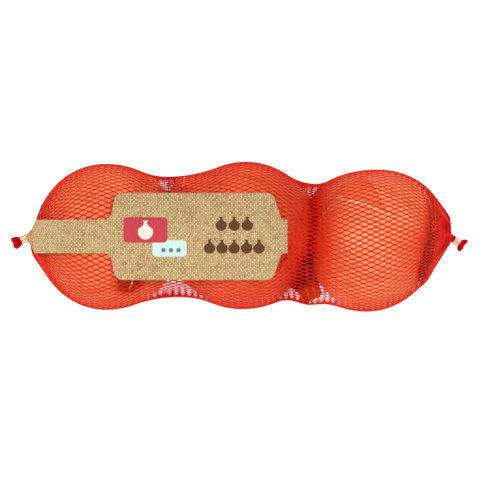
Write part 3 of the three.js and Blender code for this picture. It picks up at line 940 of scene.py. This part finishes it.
net_material = net_plastic()
for net_name, turning, seed in (("net_strands_right_hand", 1, 5), ("net_strands_left_hand", -1, 6)):
    lines, knots = strand_lines(turning, seed)
    wide = STRAND_WIDE + (KNOT_WIDE - STRAND_WIDE) * knots
    narrow = sleeve_radius(lines[..., 0], math.pi / 2)
    on_sleeve = (lines[..., 0] > LEFT_END["mouth"][0] + 0.5) & (lines[..., 0] < RIGHT_END["mouth"][0] - 0.5)
    bunched = 1 - smooth(*BUNCHED_RADII, narrow)
    relaxed = sum(np.exp(-(((lines[..., 0] - waist["x"]) / RELAXED_HALF) ** 2)) for waist in WAISTS)
    wide = wide * np.where(on_sleeve, 1 + BUNCHED_WIDE * bunched + WAIST_WIDE * relaxed, 1)
    points, faces = strand_tubes(lines, wide, STRAND_THICK)
    per_point = np.tile(np.repeat(knots, 4), CELLS_AROUND)
    off_side = (lines[..., 1] - middle_line(lines[..., 0])[0]) / narrow
    slack = sum(np.exp(-(((lines[..., 0] - waist["x"] - waist["lean"] * off_side) / SLACK_HALF) ** 2))
                for waist in WAISTS)
    # Painted shade: deep red where strands crowd at the mouths, hang slack by the waists, and cross the
    # crevice.
    painted_shade_crimson = np.maximum(bunched, 0.9 * slack * np.clip(off_side, -1, 1) ** 4)
    towards_neck = np.maximum(-lines[..., 1], 0)
    off_crevice = lines[..., 0] - CREVICE["x"] + CREVICE["bend"] * towards_neck**2
    over_crevice = np.exp(-((off_crevice / (CREVICE["half"] + CREVICE["widens"] * towards_neck)) ** 2))
    painted_shade_crimson = np.maximum(painted_shade_crimson, 0.85 * over_crevice)
    net = shown_mesh(net_name, points, faces, net_material,
                     dict(knot=per_point, painted_shade_crimson=np.repeat(painted_shade_crimson.ravel(), 4)))
    in_the_net(net)


# --- Clips --------------------------------------------------------------------------------------
# A flat strip of pale copper-coloured metal is bent round the bunched net at each end and pressed
# shut, its two ends nearly meeting underneath. Two shallow grooves are left by the tool.
CLIP = dict(across=2.3, high=2.0, strip=0.45, seam=0.16, soft=0.12)
CLIP_GROOVES = dict(places=(0.3, 0.7), depth=0.12, half=0.05)


def clip_metal():
    material, tree, shader = new_material("clip_metal", Metallic=0.75, Roughness=0.38)
    place = node(tree, "TexCoord").outputs["Object"]
    brushed = noise(tree, place, 2600.0, 3.0).outputs[0]
    tone = blend(tree, spread(tree, brushed, 0.35, 0.65), colour(228, 162, 128), colour(241, 192, 160))
    tree.links.new(tone, shader.inputs["Base Color"])
    tree.links.new(spread(tree, brushed, 0.3, 0.7, 0.3, 0.46), shader.inputs["Roughness"])
    roughen(tree, shader, brushed, 0.25, 0.00004)
    return material


clip_material = clip_metal()


def build_clip(name, end):
    """A bent strip with softened edges and two grooves round it, closed at both of its ends."""
    direction = unit(end["direction"])
    sideways = unit(np.cross((0, 0, 1), direction))
    upwards = np.cross(direction, sideways)
    opening = CLIP["seam"] / CLIP["high"]
    bend = np.linspace(-math.pi / 2 + opening, 1.5 * math.pi - opening, 61)
    soft = CLIP["soft"]
    section = [(0, soft), (soft, 0)]
    for place in np.linspace(0.1, 0.9, 17):
        groove = sum(math.exp(-(((place - middle) / CLIP_GROOVES["half"]) ** 2))
                     for middle in CLIP_GROOVES["places"])
        section.append((place * CLIP_LENGTH, CLIP_GROOVES["depth"] * groove))
    section += [(CLIP_LENGTH - soft, 0), (CLIP_LENGTH, soft)]
    section += [(CLIP_LENGTH, CLIP["strip"] - soft), (CLIP_LENGTH - soft, CLIP["strip"])]
    section += [(soft, CLIP["strip"]), (0, CLIP["strip"] - soft)]
    rings = []
    for turn in bend:
        ring = []
        for distance, depth in section:
            ring.append(np.array(end["mouth"]) + direction * (end["gap"] + distance)
                        + sideways * (CLIP["across"] - depth) * math.cos(turn)
                        + upwards * (CLIP["high"] - depth) * math.sin(turn))
        rings.append(ring)
    sides = len(section)
    faces = [face[::-1] for face in grid_faces(len(bend), sides, closed=True)]
    faces += [tuple(range(sides)), tuple(range((len(bend) - 1) * sides, len(bend) * sides))[::-1]]
    clip = shown_mesh(name, rings, faces, clip_material)
    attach(clip, "root")
    return clip


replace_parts(build_clip("metal_clip_left", LEFT_END), "clip_left")
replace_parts(build_clip("metal_clip_right", RIGHT_END), "clip_right")


# --- Label --------------------------------------------------------------------------------------
# A die-cut paper label printed all over like sackcloth. Its narrow strap is held in the left
# clip, comes up over the first onion and widens into the panel, which ends in a short tab.
LABEL = dict(y=-0.6, thickness=0.28, clearance=0.35, curl=44, strap_half=9.35, panel_half=24.2,
             start=-118.4, end=23.9, bridge_sag=0.8, droop=0.72,
             pinched_half=4.4, pinch_up=8, pinch_down=6, pinch_shift=-0.9, pinch_fold=0.7, pinch_folds=3,
             tongue=4, tongue_half=1.4, tongue_high=1.15)
THREAD_PITCH = 1.04
LABEL_STEP = 0.6
LABEL_COLUMNS = 65
TONGUE_STEPS = 8
LABEL_EASING = 20  # points of the middle line, to either side, over which it is evened out


def label_drop(across):
    return LABEL["curl"] - np.sqrt(LABEL["curl"] ** 2 - across**2)


def resting_height(x):
    """How high the label's middle line lies at x, so that no part of its width dips into the net."""
    angle = np.arange(0.1, math.pi, 0.05)
    points = sleeve_point(np.reshape(x, (-1, 1)), angle)
    across = points[..., 1] - LABEL["y"]
    under = np.abs(across) < LABEL["panel_half"]
    height = points[..., 2] + label_drop(np.where(under, across, 0))
    return np.where(under, height, 0).max(axis=1)


def label_line():
    """The label's middle line: x, height, distance from the clip, and the direction off it."""
    x = np.arange(LABEL["start"], LABEL["end"], 0.05)
    rest = resting_height(x)
    first, middle = CROWNS[0]["x"], CROWNS[1]["x"]
    at_first, at_middle = resting_height(np.array([first, middle]))
    share = np.clip((x - first) / (middle - first), 0, 1)
    bridge = at_first + (at_middle - at_first) * share
    bridge = bridge - LABEL["bridge_sag"] * np.sin(math.pi * share) ** 2
    height = np.where(x <= first, rest, bridge)
    height = np.where(x >= middle, at_middle - LABEL["droop"] * (at_middle - rest), height)
    kernel = np.hanning(2 * LABEL_EASING + 1)
    padded = np.pad(height, LABEL_EASING, mode="reflect", reflect_type="odd")
    level = np.convolve(padded, kernel / kernel.sum(), mode="valid")
    height = np.maximum(height, level)
    travelled = np.concatenate([[0], np.cumsum(np.hypot(np.diff(x), np.diff(height)))])
    slope = np.gradient(height, x)
    length = np.hypot(1, slope)
    return x, height, travelled, -slope / length, 1 / length


LINE_X, LINE_HEIGHT, LINE_TRAVELLED, LINE_OUT_X, LINE_OUT_Z = label_line()


# The panel's outline on one side, from the strap to the tab: round fillets and corners with
# straight edges between them. Each is its middle, its radius, and 1 for a corner that bulges or
# -1 for a fillet that is hollow.
OUTLINE_ARCS = [
    dict(x=-77.6, y=13.85, radius=4.5, side=-1, start=-77.6, stop=-73.1),
    dict(x=-66.8, y=18.7, radius=5.5, side=1, start=-72.3, stop=-66.8),
    dict(x=11.8, y=18.7, radius=5.5, side=1, start=11.8, stop=17.3),
    dict(x=21.9, y=11.55, radius=2.2, side=-1, start=19.7, stop=21.9),
]


def outline_half(x):
    """Half the flat label's width at x."""
    places, halves = [-200], [LABEL["strap_half"]]
    for arc in OUTLINE_ARCS:
        turn = np.linspace(0, math.pi / 2, 13)
        if arc["start"] == arc["x"]:
            step = arc["radius"] * np.sin(turn)
        else:
            step = -arc["radius"] * np.cos(turn)
        places += list(arc["x"] + step)
        halves += list(arc["y"] + arc["side"] * np.sqrt(np.maximum(arc["radius"] ** 2 - step**2, 0)))
    return np.interp(x, places + [200], halves + [LABEL["strap_half"]])


def label_half(x, travelled, side):
    """Half the label's width at x: side is +1 for the +Y edge and -1 for the other."""
    opened = smooth(0, np.where(side > 0, LABEL["pinch_up"], LABEL["pinch_down"]), travelled)
    return LABEL["pinched_half"] + (outline_half(x) - LABEL["pinched_half"]) * opened


def label_point(travelled, across, lift):
    """A point on the label by its distance from the strap's start and across it, lifted off its
    underside. Before its start, the strap narrows into the left clip."""
    x = np.interp(travelled, LINE_TRAVELLED, LINE_X)
    z = np.interp(travelled, LINE_TRAVELLED, LINE_HEIGHT)
    out_x = np.interp(travelled, LINE_TRAVELLED, LINE_OUT_X)
    out_z = np.interp(travelled, LINE_TRAVELLED, LINE_OUT_Z)
    share = across / np.maximum(label_half(x, travelled, np.sign(across)), 1)
    gathered = 1 - smooth(0, LABEL["pinch_up"], travelled)
    fold = LABEL["pinch_fold"] * gathered * np.sin(LABEL["pinch_folds"] * math.pi * share) ** 2
    wave = 0.22 * np.clip(np.abs(share), 0, 1) ** 3 * (1 + np.sin(travelled * 0.21 + 2 * np.sign(across)))
    off = LABEL["clearance"] + lift + fold + wave
    y = LABEL["y"] + LABEL["pinch_shift"] * gathered + across
    flat = np.stack([x + out_x * off, y, z - label_drop(across) + out_z * off], axis=-1)

    outwards = unit(LEFT_END["direction"])
    sideways = unit(np.cross(outwards, (0, 0, 1)))
    in_clip = np.array(LEFT_END["mouth"]) + outwards * (LEFT_END["gap"] + 0.7)
    in_clip = in_clip + sideways * (LABEL["tongue_half"] * share)[..., None]
    high = LABEL["tongue_high"] - 0.35 * share**2 + lift
    in_clip = in_clip + np.cross(sideways, outwards) * high[..., None]
    return flat + (in_clip - flat) * smooth(0, 1, -travelled / LABEL["tongue"])[..., None]


def sackcloth(name, print_colour=None, print_share=0.0):
    """Printed plain weave: threads that wander, with slubs, light crests and dark gaps."""
    material, tree, shader = new_material(name, Roughness=0.85, Specular_IOR_Level=0.25)
    threads = on_points(tree, "threads").outputs["Vector"]
    wander = noise(tree, threads, 0.22, 2.0).outputs["Color"]
    shift = node(tree, "VectorMath", dict(operation="SUBTRACT"), _0=wander, _1=(0.5, 0.5, 0.5)).outputs[0]
    shift = node(tree, "VectorMath", dict(operation="SCALE"), _0=shift, Scale=0.7).outputs[0]
    moved = node(tree, "VectorMath", dict(operation="ADD"), _0=threads, _1=shift).outputs[0]
    parts = node(tree, "SeparateXYZ", None, _0=moved)
    along, across = parts.outputs[0], parts.outputs[1]

    def crest(value):
        return maths(tree, "ABSOLUTE", maths(tree, "SINE", maths(tree, "MULTIPLY", value, math.pi)))

    def thread_tone(own, other):
        number = maths(tree, "FLOOR", own)
        place = node(tree, "CombineXYZ", None, _0=maths(tree, "MULTIPLY", number, 7.31),
                     _1=maths(tree, "MULTIPLY", other, 0.3))
        slubs = noise(tree, place.outputs[0], 1.0, 3.0).outputs[0]
        return spread(tree, slubs, 0.25, 0.75, 0.35, 1.15)

    over = node(tree, "TexChecker", None, Vector=moved, Scale=1.0).outputs["Fac"]
    warp = maths(tree, "MULTIPLY", crest(along), thread_tone(along, across))
    weft = maths(tree, "MULTIPLY", crest(across), thread_tone(across, along))
    top = node(tree, "Mix", dict(data_type="FLOAT"), _0=over, _2=warp, _3=weft).outputs[0]
    whole = node(tree, "VectorMath", dict(operation="FLOOR"), _0=moved).outputs[0]
    chance = node(tree, "TexWhiteNoise", dict(noise_dimensions="2D"), Vector=whole).outputs["Value"]
    fibre = noise(tree, threads, 3.2, 4.0).outputs[0]
    tone = maths(tree, "ADD", maths(tree, "MULTIPLY", top, 0.5), maths(tree, "MULTIPLY", chance, 0.16))
    tone = maths(tree, "ADD", tone, maths(tree, "MULTIPLY", over, 0.2))
    tone = maths(tree, "ADD", tone, maths(tree, "MULTIPLY", maths(tree, "SUBTRACT", fibre, 0.5), 0.3))
    ramp = node(tree, "ValToRGB", None, _0=tone)
    stops = [(0.0, colour(90, 62, 32)), (0.22, colour(136, 102, 59)), (0.5, colour(194, 162, 115)),
             (0.8, colour(230, 206, 164))]
    while len(ramp.color_ramp.elements) < len(stops):
        ramp.color_ramp.elements.new(0.5)
    for element, (position, tint) in zip(ramp.color_ramp.elements, stops):
        element.position, element.color = position, tint
    cloth = ramp.outputs[0]
    patch = noise(tree, threads, 0.06, 2.0).outputs[0]
    cloth = blend(tree, spread(tree, patch, 0.45, 0.7, 0.0, 0.3), cloth, colour(186, 180, 118))
    cloth = blend(tree, spread(tree, patch, 0.3, 0.5, 0.22, 0.0), cloth, colour(214, 164, 126))
    if print_colour:
        cloth = blend(tree, print_share, cloth, print_colour)
    tree.links.new(cloth, shader.inputs["Base Color"])
    roughen(tree, shader, fibre, 0.12, 0.0001)
    return material


def threads_at(travelled, across):
    return np.stack([travelled / THREAD_PITCH, across / THREAD_PITCH, 0 * travelled], axis=-1).reshape(-1, 3)


def paper_sheet(name, travelled, across, low, high, material):
    """A closed sheet over a grid of places on the label, between two heights off its underside."""
    points = np.concatenate([label_point(travelled, across, high).reshape(-1, 3),
                             label_point(travelled, across, low).reshape(-1, 3)])
    threads = np.tile(threads_at(travelled, across), (2, 1))
    sheet = shown_mesh(name, points, sheet_faces(*travelled.shape), material, dict(threads=threads))
    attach(sheet, "root")
    return sheet


label_stops = [arc[edge] for arc in OUTLINE_ARCS for edge in ("start", "stop")]
label_stops = [LINE_X[0]] + label_stops + [LABEL["end"]]
label_x = np.concatenate([
    np.linspace(start, stop, max(4, int((stop - start) / LABEL_STEP)), endpoint=False)
    for start, stop in zip(label_stops, label_stops[1:])
] + [[LABEL["end"]]])
label_travelled = np.interp(label_x, LINE_X, LINE_TRAVELLED)
label_x = np.concatenate([[LINE_X[0]] * TONGUE_STEPS, label_x])
tongue_travelled = np.linspace(-LABEL["tongue"], 0, TONGUE_STEPS, endpoint=False)
label_travelled = np.concatenate([tongue_travelled, label_travelled])
label_share = np.linspace(-1, 1, LABEL_COLUMNS)
grid_travelled, grid_share = np.meshgrid(label_travelled, label_share, indexing="ij")
grid_x = np.meshgrid(label_x, label_share, indexing="ij")[0]
grid_across = grid_share * label_half(grid_x, grid_travelled, np.sign(grid_share))
label = paper_sheet("paper_label", grid_travelled, grid_across, 0, LABEL["thickness"],
                    sackcloth("sackcloth_print"))
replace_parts(label, "label")


# --- Print on the label -------------------------------------------------------------------------
# Plain fields of ink: a red badge with a cream bulb, a small pale tab with three dots, and two
# rows of bulbs stamped in brown, through which the printed weave still shows.
INK = 0.05
INK_DEPTH = 0.1  # how far each field reaches down into the paper


def ink(name, red, green, blue):
    """Flat printed ink with faint mottling."""
    material, tree, shader = new_material(name, Roughness=0.7, Specular_IOR_Level=0.3)
    threads = on_points(tree, "threads").outputs["Vector"]
    mottle = noise(tree, threads, 1.8, 3.0).outputs[0]
    deep = colour(red * 0.9, green * 0.88, blue * 0.88)
    tone = blend(tree, spread(tree, mottle, 0.35, 0.65), deep, colour(red, green, blue))
    tree.links.new(tone, shader.inputs["Base Color"])
    return material


def travelled_at(x):
    return np.interp(x, LINE_X, LINE_TRAVELLED)


def printed(name, travelled, across, material, lift):
    """A field of ink over a grid of places on the label."""
    return paper_sheet(name, travelled, across, LABEL["thickness"] - INK_DEPTH, LABEL["thickness"] + lift,
                       material)


def field(name, x, left, right, material, lift, columns=3):
    """A printed field that runs between two edges, given at places x along the pack."""
    share = np.linspace(0, 1, columns)
    travelled = np.repeat(travelled_at(x)[:, None], columns, axis=1)
    across = left[:, None] + (right - left)[:, None] * share
    return printed(name, travelled, across, material, lift)


def round_cornered(name, middle, size, corner, material, lift):
    """A level field with rounded corners."""
    half_x, half_y = size[0] / 2, size[1] / 2
    turn = np.linspace(0, math.pi / 2, 7)
    reach = half_x - corner + corner * np.sin(turn[::-1])
    x = np.concatenate([-reach, np.linspace(-half_x + corner, half_x - corner, 14)[1:-1], reach[::-1]])
    inset = np.maximum(np.abs(x) - (half_x - corner), 0)
    half = half_y - corner + np.sqrt(np.maximum(corner**2 - inset**2, 0))
    return field(name, middle[0] + x, middle[1] - half, middle[1] + half, material, lift, 13)


def bulb(name, middle, size, material, lift):
    """An onion seen from the side, neck up: a round body that draws in to a short, open neck."""
    height = np.concatenate([-np.cos(np.linspace(0.14, math.pi / 2, 12)), np.linspace(0.08, 1.5, 18)])
    drawn_in = np.clip((height - 0.42) / 0.78, 0, 1)
    opened = np.clip((height - 1.15) / 0.35, 0, 1)
    half = np.where(height <= 0.42, np.sqrt(np.maximum(1 - height**2, 0)),
                    0.2 + 0.708 * (1 - drawn_in) ** 1.8 + 0.16 * opened**2)
    side = np.linspace(-1, 1, 9)[:, None]
    across = np.broadcast_to(middle[1] + size * height, (len(side), len(height)))
    x = middle[0] + size * half * side
    return printed(name, travelled_at(x), across, material, lift)


def join(name, pieces):
    """Several printed fields as one piece."""
    bpy.ops.object.select_all(action="DESELECT")
    for piece in pieces:
        piece.select_set(True)
    bpy.context.view_layer.objects.active = pieces[0]
    bpy.ops.object.join()
    pieces[0].name = name
    return pieces[0]


BADGE = dict(middle=(-54.5, 3.6), size=(24.4, 14), corner=2.4)
BADGE_BULB = dict(size=4.2, lower=1.1)
TAB = dict(middle=(-41.2, -6.6), size=(19, 9.4), corner=2.4)
TAB_DOTS = dict(count=3, size=2.4, pitch=4.2, right=0.8, lower=1)
STAMP_ROWS = [dict(count=3, y=6.2, pitch=7.2), dict(count=5, y=-6.4, pitch=6.8)]
STAMP_MIDDLE = -5.4
STAMP_SIZE = 3.1

badge_ink = ink("badge_red", 199, 58, 70)
cream_ink = ink("badge_cream", 244, 232, 212)
tab_ink = ink("tab_mint", 206, 236, 224)
dot_ink = ink("tab_dots", 86, 120, 160)
brown_ink = sackcloth("stamped_brown", colour(82, 42, 20), 0.94)

round_cornered("print_badge", **BADGE, material=badge_ink, lift=2 * INK)
bulb_middle = (BADGE["middle"][0], BADGE["middle"][1] - BADGE_BULB["lower"])
bulb("print_badge_bulb", bulb_middle, BADGE_BULB["size"], cream_ink, 3 * INK)
round_cornered("print_tab", **TAB, material=tab_ink, lift=INK)
dots = []
for i in range(TAB_DOTS["count"]):
    off = TAB_DOTS["right"] + TAB_DOTS["pitch"] * (i - (TAB_DOTS["count"] - 1) / 2)
    place = (TAB["middle"][0] + off, TAB["middle"][1] - TAB_DOTS["lower"])
    size = (TAB_DOTS["size"], TAB_DOTS["size"])
    dots.append(round_cornered(f"dot_{i}", place, size, TAB_DOTS["size"] / 2 - 0.01, dot_ink, 2 * INK))
join("print_tab_dots", dots)
stamps = []
for row in STAMP_ROWS:
    for i in range(row["count"]):
        place = (STAMP_MIDDLE + (i - (row["count"] - 1) / 2) * row["pitch"], row["y"])
        stamps.append(bulb(f"stamp_{row['count']}_{i}", place, STAMP_SIZE, brown_ink, INK))
join("print_stamped_bulbs", stamps)
